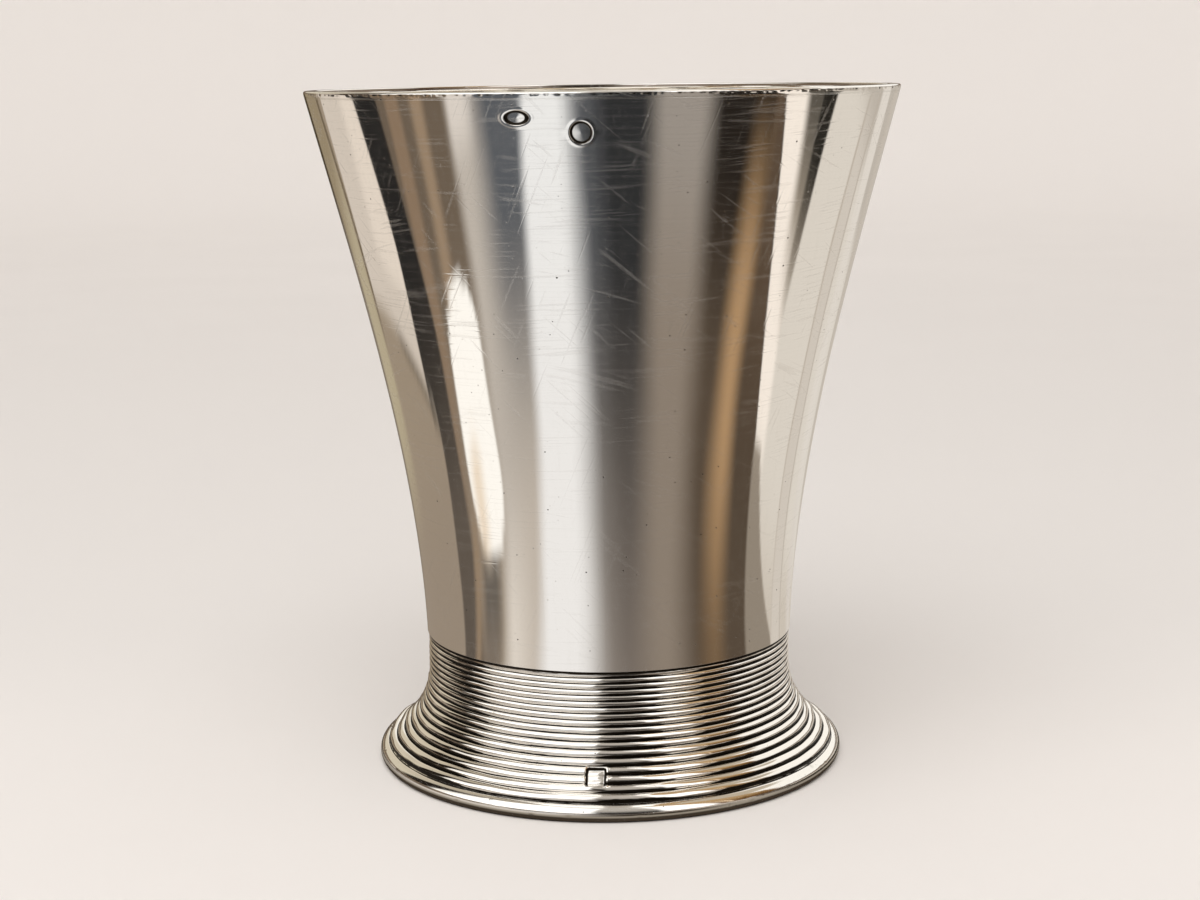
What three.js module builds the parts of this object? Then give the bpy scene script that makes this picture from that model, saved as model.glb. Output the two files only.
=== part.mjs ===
// A silver beaker: a flared cup on a short reeded foot, soldered up from spun sheet and drawn wire.
// Millimetres, +Z up. The axis of the beaker is Z, and its foot wire stands on z = 0.

import * as THREE from 'three';

const { degToRad } = THREE.MathUtils;

// Flared wall, measured on its outside
const BEAKER_HEIGHT = 80;
const LIP_RADIUS = 34.66;
const LIP_SLOPE = degToRad(14.55); // lean of the wall at the lip, from upright
const JOINT_RADIUS = 22; // lower edge of the wall, where it meets the foot
const JOINT_SLOPE = degToRad(2.2);
const WALL_THICKNESS = 0.9;

// Wire along the lip, flush with the outside of the wall
const LIP_WIRE_HEIGHT = 0.7;
const LIP_WIRE_OVERHANG = 0.3; // how far it stands proud inside the cup
const LIP_WIRE_ROUNDING = 0.3;

// Dished floor, let into the wall on top of the foot's spigot
const FLOOR_THICKNESS = 0.8;
const FLOOR_FLANGE_HEIGHT = 2.4;
const FLOOR_BEND = 0.6; // radius of the floor's underside where it turns up into the flange
const FLOOR_CROWN = 1; // rise of the floor's middle above its rim

// Hollow foot: an upright neck, then a cove that sweeps out to the foot wire
const FOOT_HEIGHT = 15.5; // shoulder that the wall stands on
const EDGE_OVERHANG = 0.4; // how far the wall's edge stands out over the groove below it
const COVE_RADIUS = 10.7;
const COVE_SWEEP = degToRad(60);
const FOOT_WALL = 0.7; // metal left under the grooves
const SPIGOT_LENGTH = 3;
const SPIGOT_WALL = 0.75;

// Reeds round the foot: fine at the neck, broader towards the foot wire
const REED_COUNT = 18;
const REED_FINENESS = 0.78; // width of the first reed over the mean width
const REED_SPREAD = 3.4; // power by which the reeds broaden
const REED_BULGE = 0.36; // height of a reed over its width

// Round wire under the foot, filed flat where it stands
const FOOT_WIRE_RADIUS = 1.05;
const FOOT_WIRE_FILED = 0.13;

// Hard solder: the film left in a joint, and the fillets beside it
const SOLDER_FILM = 0.1;
const LIP_FILLET = 0.3;
const FLOOR_FILLET = 0.7;
const SPIGOT_FILLET = 0.8;
const FOOT_WIRE_FILLET = 0.5;

// Facets of the turned solids
const TURN_STEPS = 40;
const WALL_STEPS = 9;
const ROUNDING_STEPS = 3;
const CROWN_STEPS = 3;
const REED_STEPS = 4;
const COVE_STEPS = 7;
const WIRE_OUTER_STEPS = 8;
const WIRE_INNER_STEPS = 5;

// Heights that the pieces share
const wallFoot = FOOT_HEIGHT + SOLDER_FILM;
const lipWireFoot = BEAKER_HEIGHT - LIP_WIRE_HEIGHT;
const wallTop = lipWireFoot - SOLDER_FILM;
const spigotTop = FOOT_HEIGHT + SPIGOT_LENGTH;
const floorSeat = spigotTop + SOLDER_FILM;
const flangeTop = floorSeat + FLOOR_FLANGE_HEIGHT;

// The outside of the wall is one cubic curve. Its middle points stand at one and two thirds of its
// rise, so that height runs evenly along the curve.
const wallRise = BEAKER_HEIGHT - wallFoot;
const wallThird = wallRise / 3;
const wallCurve = new THREE.CubicBezierCurve(
  new THREE.Vector2(JOINT_RADIUS, wallFoot),
  new THREE.Vector2(JOINT_RADIUS + wallThird * Math.tan(JOINT_SLOPE), wallFoot + wallThird),
  new THREE.Vector2(LIP_RADIUS - wallThird * Math.tan(LIP_SLOPE), BEAKER_HEIGHT - wallThird),
  new THREE.Vector2(LIP_RADIUS, BEAKER_HEIGHT),
);

/** Outer radius of the wall at a height. */
function wallOutside(height) {
  return wallCurve.getPoint((height - wallFoot) / wallRise).x;
}

/** Inner radius of the wall at a height, one thickness in, square to the outside. */
function wallInside(height) {
  const along = wallCurve.getTangent((height - wallFoot) / wallRise);
  return wallOutside(height) - WALL_THICKNESS / along.y;
}

// Radii of the spigot, which enters the wall with a film of solder round it
const spigotOutside = wallInside(wallFoot) - SOLDER_FILM;
const spigotInside = spigotOutside - SPIGOT_WALL;

// The foot's groove line, followed down from the shoulder: straight, then round the cove
const footWireTop = 2 * FOOT_WIRE_RADIUS - FOOT_WIRE_FILED;
const coveFoot = footWireTop + SOLDER_FILM * Math.cos(COVE_SWEEP);
const coveTop = coveFoot + COVE_RADIUS * Math.sin(COVE_SWEEP);
const neckLength = FOOT_HEIGHT - coveTop;
const neckRadius = JOINT_RADIUS - EDGE_OVERHANG;
const footLength = neckLength + COVE_RADIUS * COVE_SWEEP;

/** Point [radius, height] at a length down the groove line, moved out from the metal by an offset. */
function footPoint(length, offset) {
  const turn = Math.max(0, length - neckLength) / COVE_RADIUS;
  const drop = Math.min(length, neckLength) + COVE_RADIUS * Math.sin(turn);
  const reach = COVE_RADIUS * (1 - Math.cos(turn));
  return [neckRadius + reach + offset * Math.cos(turn), FOOT_HEIGHT - drop + offset * Math.sin(turn)];
}

// The foot's lower edge is cut square across the sheet. The foot wire's seat lies one film below it.
const edgeOutside = footPoint(footLength, 0);
const edgeInside = footPoint(footLength, -FOOT_WALL);
const filmAcross = [SOLDER_FILM * Math.sin(COVE_SWEEP), -SOLDER_FILM * Math.cos(COVE_SWEEP)];
const seatOutside = moved(edgeOutside, filmAcross);
const seatInside = moved(edgeInside, filmAcross);
const filletLength = footLength - (FOOT_WIRE_FILLET * COVE_RADIUS) / (COVE_RADIUS + FOOT_WALL);

// The foot wire is round about a centre straight below the outer corner of its seat
const footWireCentre = [seatOutside[0], footWireTop - FOOT_WIRE_RADIUS];
const footWireFlat = Math.sqrt(FOOT_WIRE_RADIUS ** 2 - footWireCentre[1] ** 2);

/** A point moved by a step, both [radius, height]. */
function moved(point, step) {
  return [point[0] + step[0], point[1] + step[1]];
}

/** Evenly spaced numbers from one end to the other, both kept. */
function spaced(from, to, steps) {
  return Array.from({ length: steps + 1 }, (_, i) => THREE.MathUtils.lerp(from, to, i / steps));
}

/** Points of a circular arc about a centre, from one angle to another. */
function arc(centre, radius, from, to, steps) {
  const curve = new THREE.EllipseCurve(centre[0], centre[1], radius, radius, from, to, to < from);
  return curve.getPoints(steps).map((point) => [point.x, point.y]);
}

/** Solid of revolution of an outline of [radius, height] points that starts and ends on the axis. */
function turnedDisc(outline) {
  const points = outline.map(([radius, height]) => new THREE.Vector2(radius, height));
  return new THREE.LatheGeometry(points, TURN_STEPS).rotateX(Math.PI / 2);
}

/** Solid of revolution of a closed outline of [radius, height] points, clear of the axis. */
function turnedRing(outline) {
  return turnedDisc([...outline, outline[0]]);
}

/** Flared wall: up its outside, and down its inside with a corner where each fillet of solder ends. */
function cupWall() {
  const outside = spaced(wallFoot, wallTop, WALL_STEPS).map((z) => [wallOutside(z), z]);
  const upper = spaced(wallTop - LIP_FILLET, flangeTop + FLOOR_FILLET, WALL_STEPS);
  const inside = [wallTop, ...upper, flangeTop, wallFoot].map((z) => [wallInside(z), z]);
  return turnedRing([...outside, ...inside]);
}

/** Lip wire: it carries the flare of the wall on up, and its two upper edges are rounded. */
function lipWire() {
  const shoulder = BEAKER_HEIGHT - LIP_WIRE_ROUNDING;
  const outerCentre = [wallOutside(shoulder) - LIP_WIRE_ROUNDING, shoulder];
  const inside = wallInside(wallTop) - LIP_WIRE_OVERHANG;
  const innerCentre = [inside + LIP_WIRE_ROUNDING, shoulder];
  return turnedRing([
    [wallOutside(lipWireFoot), lipWireFoot],
    ...arc(outerCentre, LIP_WIRE_ROUNDING, 0, Math.PI / 2, ROUNDING_STEPS),
    ...arc(innerCentre, LIP_WIRE_ROUNDING, Math.PI / 2, Math.PI, ROUNDING_STEPS),
    [inside, lipWireFoot],
  ]);
}

/** Floor: a crowned disc whose flat rim sits on the spigot and turns up along the wall. */
function cupFloor() {
  const crownRadius = spigotInside - SPIGOT_FILLET - FLOOR_BEND;
  const crown = spaced(0, crownRadius, CROWN_STEPS).map((radius) => {
    const rise = FLOOR_CROWN * (1 - (radius / crownRadius) ** 2);
    return [radius, floorSeat + rise];
  });
  const bendTop = floorSeat + FLOOR_BEND;
  const flangeOutside = (z) => wallInside(z) - SOLDER_FILM;
  const bendCentre = [flangeOutside(bendTop) - FLOOR_BEND, bendTop];
  const floorTop = floorSeat + FLOOR_THICKNESS;
  return turnedDisc([
    ...crown,
    ...arc(bendCentre, FLOOR_BEND, -Math.PI / 2, 0, ROUNDING_STEPS),
    [flangeOutside(flangeTop), flangeTop],
    [flangeOutside(flangeTop) - FLOOR_THICKNESS, flangeTop],
    [flangeOutside(bendTop) - FLOOR_THICKNESS, floorTop],
    ...crown.map((point) => moved(point, [0, FLOOR_THICKNESS])).reverse(),
  ]);
}

/** Length down the groove line at which a reed starts. */
function reedStart(index) {
  const share = index / REED_COUNT;
  return footLength * (REED_FINENESS * share + (1 - REED_FINENESS) * share ** REED_SPREAD);
}

/** Half-round reeds side by side, from the shoulder down to the foot's edge. */
function reeds() {
  const points = [];
  for (let index = 0; index < REED_COUNT; index += 1) {
    const start = reedStart(index);
    const width = reedStart(index + 1) - start;
    for (let step = 0; step < REED_STEPS; step += 1) {
      const across = step / REED_STEPS;
      points.push(footPoint(start + across * width, 4 * across * (1 - across) * REED_BULGE * width));
    }
  }
  return [...points, edgeOutside];
}

/** Hollow foot: up its reeds, over the shoulder and the spigot, and down its plain inside. */
function reededFoot() {
  const neckInside = neckRadius - FOOT_WALL;
  const stepTop = FOOT_HEIGHT - FOOT_WALL;
  const inside = spaced(neckLength, filletLength, COVE_STEPS).map((length) => footPoint(length, -FOOT_WALL));
  return turnedRing([
    ...reeds().reverse(),
    [spigotOutside, FOOT_HEIGHT],
    [spigotOutside, spigotTop],
    [spigotInside, spigotTop],
    [spigotInside, stepTop],
    [neckInside, stepTop - Math.abs(neckInside - spigotInside)],
    ...inside,
    edgeInside,
  ]);
}

/** Foot wire: a round wire with a flat below to stand on and a rebate inside for the foot's edge. */
function footWire() {
  const flatAngle = Math.asin(footWireCentre[1] / FOOT_WIRE_RADIUS);
  const rebateAngle = Math.asin((seatInside[1] - footWireCentre[1]) / FOOT_WIRE_RADIUS);
  return turnedRing([
    ...arc(footWireCentre, FOOT_WIRE_RADIUS, -flatAngle, Math.PI / 2, WIRE_OUTER_STEPS),
    seatInside,
    ...arc(footWireCentre, FOOT_WIRE_RADIUS, Math.PI - rebateAngle, Math.PI + flatAngle, WIRE_INNER_STEPS),
  ]);
}

/** Seam under the lip wire: the film on the wall's top edge, and a fillet under the overhang. */
function lipSolder() {
  const inside = wallInside(wallTop);
  return turnedRing([
    [wallOutside(wallTop), wallTop],
    [wallOutside(wallTop), lipWireFoot],
    [inside - LIP_WIRE_OVERHANG, lipWireFoot],
    [wallInside(wallTop - LIP_FILLET), wallTop - LIP_FILLET],
    [inside, wallTop],
  ]);
}

/** Seam round the floor: a hollow fillet on top of the flange, against the wall. */
function floorSolder() {
  const inside = wallInside(flangeTop);
  const hollow = FLOOR_FILLET / 3;
  return turnedRing([
    [inside, flangeTop],
    [wallInside(flangeTop + FLOOR_FILLET), flangeTop + FLOOR_FILLET],
    [inside - hollow, flangeTop + hollow],
    [inside - FLOOR_FILLET, flangeTop],
  ]);
}

/** Seam at the neck: the film between the wall's lower edge and the foot's shoulder. */
function neckSolder() {
  return turnedRing([
    [spigotOutside, FOOT_HEIGHT],
    [neckRadius, FOOT_HEIGHT],
    [neckRadius, wallFoot],
    [spigotOutside, wallFoot],
  ]);
}

/** Seam on the spigot: the film under the floor, and a fillet inside the foot. */
function spigotSolder() {
  return turnedRing([
    [spigotInside, spigotTop],
    [spigotOutside, spigotTop],
    [spigotOutside, floorSeat],
    [spigotInside - SPIGOT_FILLET, floorSeat],
    [spigotInside, spigotTop - SPIGOT_FILLET],
  ]);
}

/** Seam on the foot wire: the film along the foot's edge, and a fillet on the rebate inside the foot. */
function footWireSolder() {
  const rebateRise = seatInside[1] - footWireCentre[1];
  const rebateInside = footWireCentre[0] - Math.sqrt(FOOT_WIRE_RADIUS ** 2 - rebateRise ** 2);
  return turnedRing([
    footPoint(filletLength, -FOOT_WALL),
    [Math.max(seatInside[0] - FOOT_WIRE_FILLET, rebateInside), seatInside[1]],
    seatInside,
    seatOutside,
    edgeOutside,
    edgeInside,
  ]);
}

/** Polished silver of the cup. */
function polishedSilver() {
  return new THREE.MeshStandardMaterial({ color: 0xe6e1d8, metalness: 1, roughness: 0.14 });
}

/** Silver of the foot, duller where the grooves have darkened. */
function agedSilver() {
  return new THREE.MeshStandardMaterial({ color: 0xc8bfae, metalness: 1, roughness: 0.26 });
}

/** Hard solder, greyer than the silver that it joins. */
function hardSolder() {
  return new THREE.MeshStandardMaterial({ color: 0xaaa59b, metalness: 1, roughness: 0.38 });
}

const beaker = new THREE.Group();

/** Adds one named piece to the beaker. */
function add(name, geometry, material) {
  const mesh = new THREE.Mesh(geometry, material);
  mesh.name = name;
  beaker.add(mesh);
}

add('cup_wall', cupWall(), polishedSilver());
add('lip_wire', lipWire(), polishedSilver());
add('cup_floor', cupFloor(), polishedSilver());
add('reeded_foot', reededFoot(), agedSilver());
add('foot_wire', footWire(), agedSilver());
add('lip_solder', lipSolder(), hardSolder());
add('floor_solder', floorSolder(), hardSolder());
add('neck_solder', neckSolder(), hardSolder());
add('spigot_solder', spigotSolder(), hardSolder());
add('foot_wire_solder', footWireSolder(), hardSolder());

export default beaker;
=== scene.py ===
"""A silver beaker: a flared cup with a wired lip, on a hollow foot turned all over with reeds.

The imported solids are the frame. Every piece of the beaker is turned again here as a fine surface of
revolution, in the same place, and gets the finish of old table silver: polish, hairline scratches,
tarnish in the grooves and nicks along the edges. Shapes are worked out in millimetres and put into
their meshes in metres. Azimuths run from the front of the beaker, which is -Y, towards +X.
"""

import logging
import math
from dataclasses import dataclass, field
from enum import Enum
from typing import Any, Sequence

import bpy
import numpy as np
from mathutils import Matrix, Vector


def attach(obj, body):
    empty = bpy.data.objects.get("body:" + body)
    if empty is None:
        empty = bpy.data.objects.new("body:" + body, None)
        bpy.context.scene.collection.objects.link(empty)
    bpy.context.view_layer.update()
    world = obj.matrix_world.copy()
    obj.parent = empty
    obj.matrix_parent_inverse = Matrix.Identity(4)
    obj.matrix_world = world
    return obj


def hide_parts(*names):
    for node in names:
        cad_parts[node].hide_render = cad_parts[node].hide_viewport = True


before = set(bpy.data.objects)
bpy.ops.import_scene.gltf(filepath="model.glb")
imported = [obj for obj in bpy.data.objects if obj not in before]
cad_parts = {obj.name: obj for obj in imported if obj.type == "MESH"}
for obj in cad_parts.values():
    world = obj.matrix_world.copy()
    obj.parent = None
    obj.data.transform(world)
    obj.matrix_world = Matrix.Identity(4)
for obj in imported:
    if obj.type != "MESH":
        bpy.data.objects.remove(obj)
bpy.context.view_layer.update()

log = logging.getLogger("silver_beaker")

MILLIMETRE = 0.001
BODY = "root"
TARNISH_AND_SHADE = "tarnish_and_shade"  # point attribute of patina and painted shade: 0 on clean metal, 1 at the bottom of a dark groove
GLOW = "glow"  # colour attribute of the light tent

Pair = tuple[float, float]
Window = tuple[float, float, float]
Colour = tuple[float, float, float]
Built = list[tuple[bpy.types.Object, str]]

NONE: Colour = (0.0, 0.0, 0.0)
EASE = 0.012  # how far a sheet's edges are cut back, in millimetres


def smoothstep(low: Any, high: Any, value: np.ndarray) -> np.ndarray:
    """Smooth step from 0 at low to 1 at high: 3t^2 - 2t^3 of the share t of the way between them."""
    share = np.clip((value - low) / (high - low), 0.0, 1.0)
    return share * share * (3.0 - 2.0 * share)


def graded(start: float, stop: float, coarse: float, windows: Sequence[Window]) -> np.ndarray:
    """Sample places between two ends, coarse in general and finer inside windows.

    Args:
        start: First place.
        stop: Last place, which is kept.
        coarse: Widest step outside the windows.
        windows: Windows as (from, to, widest step), in rising order.

    Returns:
        Rising places, evenly spread inside each stretch.
    """
    stretches = []
    at = start
    for low, high, fine in [*windows, (stop, stop, coarse)]:
        for end, step in ((low, coarse), (high, fine)):
            if end > at:
                count = math.ceil((end - at) / step)
                stretches.append(np.linspace(at, end, count, endpoint=False))
                at = end
    return np.append(np.concatenate(stretches), stop)


def azimuths(columns: int) -> np.ndarray:
    """Azimuths of evenly spread columns, in degrees: each column's share of 360, from -180 on."""
    return np.arange(columns) * (360 / columns) - 180


def arc(centre: Pair, radius: float, start: float, end: float, steps: int) -> np.ndarray:
    """Arc in a profile's plane: its centre plus the radius times cosine and sine, from outwards to up."""
    angle = np.linspace(start, end, steps + 1)
    return np.stack([centre[0] + radius * np.cos(angle), centre[1] + radius * np.sin(angle)], axis=1)


def eased(outline: np.ndarray, reach: float) -> np.ndarray:
    """A closed outline whose corners are cut back, so that edges catch the light.

    Args:
        outline: Corner points as rows of radius and height.
        reach: Distance from each corner at which its small chamfer starts.

    Returns:
        Four points for each corner, two on each side of it: one at reach and one at three times reach.
    """
    before = np.roll(outline, 1, axis=0) - outline
    after = np.roll(outline, -1, axis=0) - outline
    back = before / np.linalg.norm(before, axis=1, keepdims=True)
    ahead = after / np.linalg.norm(after, axis=1, keepdims=True)
    moves = [3 * reach * back, reach * back, reach * ahead, 3 * reach * ahead]
    return (outline[:, None] + np.stack(moves, axis=1)).reshape(-1, 2)


def outward(outline: np.ndarray) -> np.ndarray:
    """Unit normals of a closed outline that climbs its outside.

    Args:
        outline: Rows of radius and height.

    Returns:
        A row for each point: the step from the point before it to the one after it, turned right.
    """
    along = np.roll(outline, -1, axis=0) - np.roll(outline, 1, axis=0)
    normal = np.stack([along[:, 1], -along[:, 0]], axis=1)
    return normal / np.linalg.norm(normal, axis=1, keepdims=True)


def upwards(values: np.ndarray, last: float) -> np.ndarray:
    """Column, from the foot's edge up, of values that run down the reeds and a last one for the edge."""
    return np.append(values.ravel(), last)[::-1, None]


def rounded_edge(across: np.ndarray, along: np.ndarray, half: Sequence[float], corner: float) -> np.ndarray:
    """Distance from the edge of a rectangle with rounded corners.

    Args:
        across: Places across it, from its middle.
        along: Places along it.
        half: Half of its width and half of its length.
        corner: Radius of its corners.

    Returns:
        Distances, below 0 inside: the larger one beyond a side, or the two put together at a corner.
    """
    over = np.stack([np.abs(across) - half[0], np.abs(along) - half[1]]) + corner
    return np.hypot(*np.maximum(over, 0)) + np.minimum(over.max(axis=0), 0) - corner


def grid_quads(rows: int, columns: int, closed: bool) -> np.ndarray:
    """Quads between the points of a grid that closes round its columns.

    Args:
        rows: Number of rows.
        columns: Number of points in a row.
        closed: Whether the last row joins the first.

    Returns:
        Rows of four point numbers: a point, the one to its right, and the same two in the next row.
    """
    row = np.arange(rows if closed else rows - 1)[:, None]
    column = np.arange(columns)[None, :]
    above = (row + 1) % rows * columns
    right = (column + 1) % columns
    corners = [row * columns + column, row * columns + right, above + right, above + column]
    return np.stack(corners, axis=-1).reshape(-1, 4)


@dataclass
class Turning:
    """A surface of revolution on a grid of profile points by azimuths.

    Attributes:
        outline: Rows of radius and height, in millimetres, up the outside first.
        azimuth: Azimuths of the columns, in degrees.
        relief: How far each point stands out along the outline's normal, in millimetres.
        tarnish_and_shade: Patina and painted shade of each point, from 0 to 1.
    """

    outline: np.ndarray
    azimuth: np.ndarray
    relief: np.ndarray = field(init=False)
    tarnish_and_shade: np.ndarray = field(init=False)

    def __post_init__(self) -> None:
        """Starts with a true surface of clean metal."""
        self.relief = np.zeros((len(self.outline), len(self.azimuth)))
        self.tarnish_and_shade = np.zeros_like(self.relief)

    def points(self) -> np.ndarray:
        """Points of the surface, in metres.

        Returns:
            Array of rows x, y, z. The profile, moved along its normal by the relief, is carried round
            the axis: x is radius times the sine of the azimuth, y is minus radius times its cosine.
        """
        normal = outward(self.outline)
        radius = self.outline[:, :1] + self.relief * normal[:, :1]
        height = self.outline[:, 1:] + self.relief * normal[:, 1:]
        turn = np.radians(self.azimuth)
        points = np.stack([radius * np.sin(turn), -radius * np.cos(turn), height], axis=-1)
        return points.reshape(-1, 3) * MILLIMETRE

    def ring(self, name: str) -> bpy.types.Object:
        """Smooth mesh object of a ring, whose outline closes on itself clear of the axis."""
        quads = grid_quads(*self.relief.shape, True)
        return mesh_object(name, self.points(), quads, self.tarnish_and_shade.ravel())

    def disc(self, name: str) -> bpy.types.Object:
        """Mesh object of a disc, whose outline runs from the axis below to the axis above.

        Args:
            name: Name of the object.

        Returns:
            The object. The first and last rows of the outline are on the axis and give one pole each.
        """
        rows, columns = self.relief.shape
        grid = self.points()
        points = np.concatenate([grid[:1], grid[columns:-columns], grid[-1:]])
        tarnish_and_shade = np.concatenate([self.tarnish_and_shade[:1, 0], self.tarnish_and_shade[1:-1].ravel(), self.tarnish_and_shade[-1:, 0]])
        quads = 1 + grid_quads(rows - 2, columns, False)
        column = np.arange(columns)
        right = (column + 1) % columns
        last = 1 + (rows - 3) * columns
        top = len(points) - 1
        below = np.stack([np.zeros_like(column), 1 + right, 1 + column], axis=1)
        over = np.stack([last + column, last + right, np.full_like(column, top)], axis=1)
        return mesh_object(name, points, quads, tarnish_and_shade, np.concatenate([below, over]))


def mesh_object(
    name: str,
    points: np.ndarray,
    quads: np.ndarray,
    tarnish_and_shade: np.ndarray | None = None,
    triangles: np.ndarray | None = None,
) -> bpy.types.Object:
    """Mesh object from arrays of points and faces, smooth shaded.

    Args:
        name: Name of the object and its mesh.
        points: Rows x, y, z in metres.
        quads: Rows of four point numbers, anticlockwise from outside.
        tarnish_and_shade: Patina and painted shade of each point, or None.
        triangles: Rows of three point numbers, or None.

    Returns:
        The object, at the origin and linked to the scene.
    """
    fans = np.zeros((0, 3), int) if triangles is None else triangles
    corners = np.concatenate([quads.ravel(), fans.ravel()])
    sizes = np.concatenate([np.full(len(quads), 4), np.full(len(fans), 3)])
    mesh = bpy.data.meshes.new(name)
    mesh.vertices.add(len(points))
    mesh.vertices.foreach_set("co", points.astype(np.float32).ravel())
    mesh.loops.add(len(corners))
    mesh.loops.foreach_set("vertex_index", corners.astype(np.int32))
    mesh.polygons.add(len(sizes))
    mesh.polygons.foreach_set("loop_start", (np.cumsum(sizes) - sizes).astype(np.int32))
    mesh.update(calc_edges=True)
    mesh.validate()
    mesh.shade_smooth()
    if tarnish_and_shade is not None:
        layer = mesh.attributes.new(TARNISH_AND_SHADE, "FLOAT", "POINT")
        layer.data.foreach_set("value", np.clip(tarnish_and_shade, 0.0, 1.0).astype(np.float32))
    made = bpy.data.objects.new(name, mesh)
    bpy.context.scene.collection.objects.link(made)
    return made


class Reading:
    """A shader socket on which Python's arithmetic adds Math nodes."""

    def __init__(self, shader: "Shader", socket: bpy.types.NodeSocket) -> None:
        """Wraps a socket of that shader."""
        self.shader = shader
        self.socket = socket

    def __add__(self, other: Any) -> "Reading":
        """Sum with another reading or a number."""
        return self.shader.maths("ADD", self, other)

    def __sub__(self, other: Any) -> "Reading":
        """Difference from another reading or a number."""
        return self.shader.maths("SUBTRACT", self, other)

    def __rsub__(self, other: Any) -> "Reading":
        """A number less this reading."""
        return self.shader.maths("SUBTRACT", other, self)

    def __mul__(self, other: Any) -> "Reading":
        """Product with another reading or a number."""
        return self.shader.maths("MULTIPLY", self, other)

    __radd__ = __add__
    __rmul__ = __mul__

    def larger(self, other: Any) -> "Reading":
        """The larger of this and another reading."""
        return self.shader.maths("MAXIMUM", self, other)

    def step(self, low: float, high: float, start: float = 0.0, end: float = 1.0) -> "Reading":
        """Smooth step from start, where this reading is at low, to end, where it is at high."""
        values = {"Value": self, "From Min": low, "From Max": high, "To Min": start, "To Max": end}
        return self.shader.reading("ShaderNodeMapRange", "Result", values, interpolation_type="SMOOTHSTEP")


class Shader:
    """A material and the nodes that give it its look."""

    def __init__(self, name: str) -> None:
        """Starts an empty material.

        Args:
            name: Name of the material.
        """
        self.material = bpy.data.materials.new(name)
        self.material.use_nodes = True
        self.tree = self.material.node_tree
        self.tree.nodes.clear()
        self.place = self.reading("ShaderNodeTexCoord", "Object", {})

    def node(self, kind: str, settings: dict[str, Any], values: dict[Any, Any]) -> bpy.types.Node:
        """Adds a node.

        Args:
            kind: Type of the node.
            settings: Properties of the node, set first.
            values: What its input sockets hold or are linked to.

        Returns:
            The node.
        """
        made = self.tree.nodes.new(kind)
        for key, value in settings.items():
            setattr(made, key, value)
        for key, value in values.items():
            if isinstance(value, Reading):
                self.tree.links.new(value.socket, made.inputs[key])
            else:
                made.inputs[key].default_value = value
        return made

    def reading(self, kind: str, output: Any, values: dict[Any, Any], **settings: Any) -> Reading:
        """Adds a node and gives one of its outputs as a reading."""
        return Reading(self, self.node(kind, settings, values).outputs[output])

    def maths(self, operation: str, first: Any, second: Any = 0.0) -> Reading:
        """A Math node on two readings or numbers."""
        return self.reading("ShaderNodeMath", 0, {0: first, 1: second}, operation=operation)

    def attribute(self, name: str, output: str) -> Reading:
        """An attribute of the mesh, as its Fac or Color output."""
        return self.reading("ShaderNodeAttribute", output, {}, attribute_name=name)

    def stretched(self, scale: Colour, turn: Colour = NONE, shift: Colour = NONE) -> Reading:
        """Object coordinates, turned and then stretched, for a pattern that runs one way.

        Args:
            scale: Pattern units to a metre along each turned axis.
            turn: Turn about X, Y and Z, in degrees.
            shift: Where the pattern starts, in pattern units.

        Returns:
            The coordinates as a vector reading.
        """
        angles = tuple(math.radians(angle) for angle in turn)
        turned = self.reading("ShaderNodeMapping", "Vector", {"Vector": self.place, "Rotation": angles})
        values = {0: turned, 1: scale, 2: shift}
        return self.reading("ShaderNodeVectorMath", "Vector", values, operation="MULTIPLY_ADD")

    def noise(self, place: Reading, detail: float) -> Reading:
        """Cloudy noise, about 0.5 in the middle, with one cloud to each pattern unit."""
        values = {"Vector": place, "Scale": 1.0, "Detail": detail}
        return self.reading("ShaderNodeTexNoise", "Fac", values)

    def blend(self, share: Any, first: Any, second: Any) -> Reading:
        """Colour that goes from the first to the second as the share goes from 0 to 1."""
        ends = [end if isinstance(end, Reading) else (*end, 1.0) for end in (first, second)]
        return self.reading("ShaderNodeMix", 2, {0: share, 6: ends[0], 7: ends[1]}, data_type="RGBA")

    def finish(self, surface: Reading) -> bpy.types.Material:
        """Links a shader to the material's output and returns the material."""
        self.node("ShaderNodeOutputMaterial", {}, {"Surface": surface})
        return self.material


class Grain(Enum):
    """Hairline scratches: stretch along X, Y and Z, turn, level of crests, strength, level of bare metal."""

    ROUND = ((60.0, 60.0, 2300.0), (1.0, -2.0, 20.0), 0.72, 0.65, 0.47)
    ROUND_FINE = ((110.0, 110.0, 4200.0), (-3.0, 3.0, 60.0), 0.66, 0.7, 0.44)
    SLANTED = ((95.0, 95.0, 2900.0), (24.0, -14.0, 0.0), 0.72, 0.8, 0.48)
    STEEP = ((95.0, 95.0, 2900.0), (10.0, 66.0, 0.0), 0.72, 0.8, 0.48)
    CROSSED = ((95.0, 95.0, 2900.0), (-14.0, -42.0, 0.0), 0.72, 0.8, 0.48)


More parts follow.
